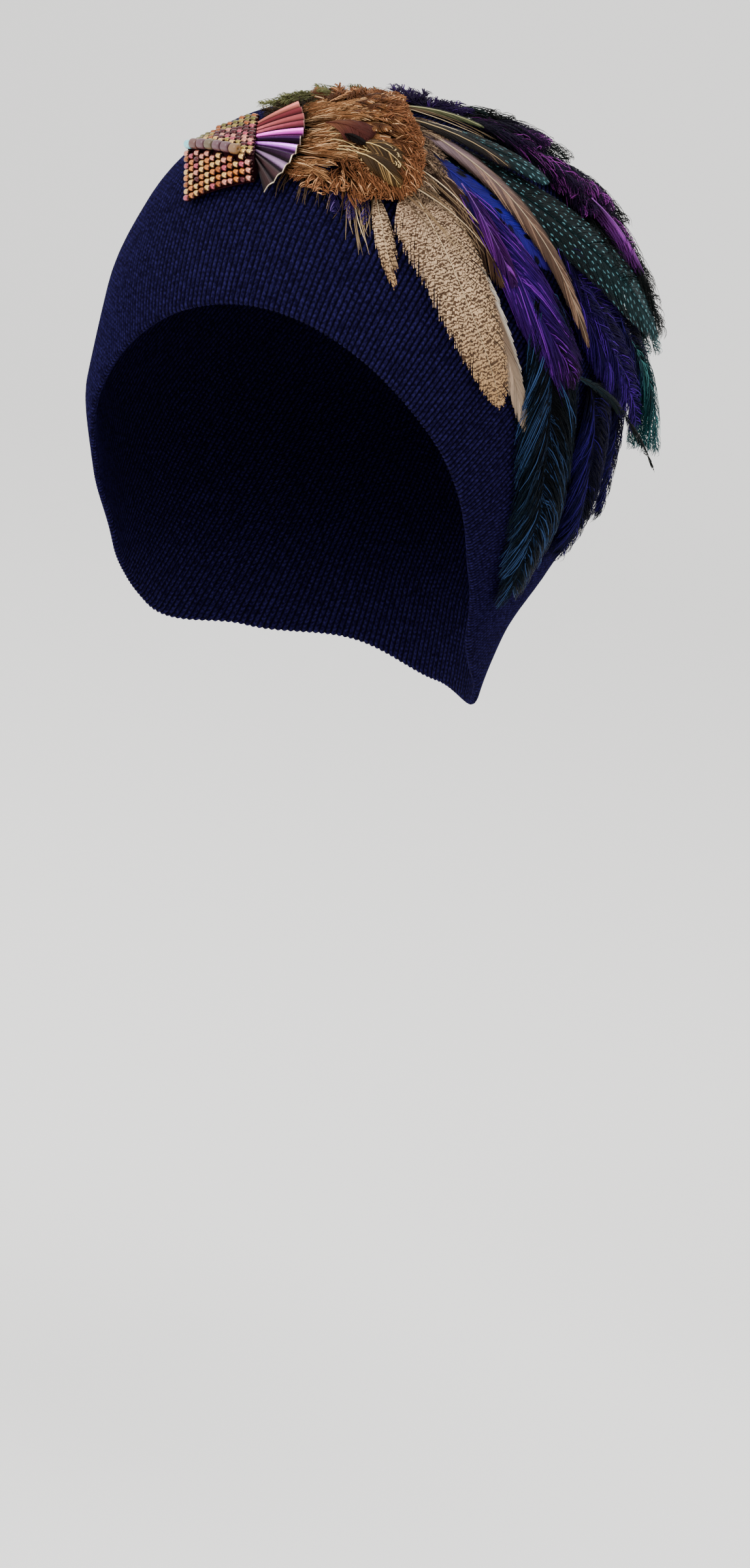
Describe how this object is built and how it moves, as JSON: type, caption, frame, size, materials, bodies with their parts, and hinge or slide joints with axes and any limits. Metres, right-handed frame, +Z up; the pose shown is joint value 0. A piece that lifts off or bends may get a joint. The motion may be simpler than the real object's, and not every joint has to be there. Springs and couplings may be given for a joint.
{
  "type": "flapper hat",
  "caption": "Close-fitting deep rib-knit cap with a face opening and low nape, trimmed with a side spray of dyed feathers, a feather pad and a beaded brooch with a pleated fan.",
  "frame": {"origin": "inner face of the crown where it rests on the top of the wearer's head", "axes": "+Z up along the standing wearer, -Y towards the wearer's front, +X towards the wearer's left"},
  "size_m": [0.1859, 0.2036, 0.193],
  "materials": {
    "rib_knit": "matte rib knit, dark indigo",
    "rust_feather": "soft rust and brown barbs",
    "tan_feather": "satin vane with fine dark barring",
    "pale_feather": "satin pale vane",
    "brown_feather": "satin brown vane with a pale shaft",
    "blue_feather": "satin blue vane with dark spots",
    "teal_feather": "satin dark teal vane with pale spots",
    "black_feather": "satin near-black vane",
    "olive_feather": "soft olive barbs",
    "steel_plume": "soft steel-blue barbs",
    "navy_plume": "soft navy barbs",
    "purple_plume": "soft purple barbs",
    "magenta_feather": "soft magenta barbs",
    "beadwork": "gold and burgundy seed beads",
    "taupe_bead": "satin taupe",
    "turquoise_bead": "glossy turquoise",
    "foil_ribbon": "pink-violet metallic pleats"
  },
  "bodies": {
    "root": {"knit_cap": "rib_knit", "flank_feather": "tan_feather", "flank_feather_narrow": "tan_feather", "pale_feather": "pale_feather", "brown_hackle": "brown_feather", "blue_spotted_feather": "blue_feather", "guinea_feather": "teal_feather", "dark_quill": "black_feather", "pheasant_quill": "brown_feather", "guinea_feather_small": "teal_feather", "violet_crescent": "magenta_feather", "olive_feather": "olive_feather", "dark_brown_feather": "brown_feather", "steel_plume": "steel_plume", "navy_plume": "navy_plume", "navy_plume_outer": "navy_plume", "teal_tip_plume": "teal_feather", "purple_plume": "purple_plume", "purple_marabou": "purple_plume", "magenta_wisps": "magenta_feather", "crown_plume_front": "magenta_feather", "crown_plume_back": "magenta_feather", "dark_plume": "black_feather", "olive_tuft": "olive_feather", "purple_tuft": "purple_plume", "feather_pad": "rust_feather", "beaded_panel": "beadwork", "tip_bead": "turquoise_bead", "ridge_bead_1": "taupe_bead", "ridge_bead_2": "taupe_bead", "ridge_bead_3": "taupe_bead", "ridge_bead_4": "taupe_bead", "ridge_bead_5": "taupe_bead", "ridge_bead_6": "taupe_bead", "pleated_fan": "foil_ribbon"}
  },
  "joints": []
}
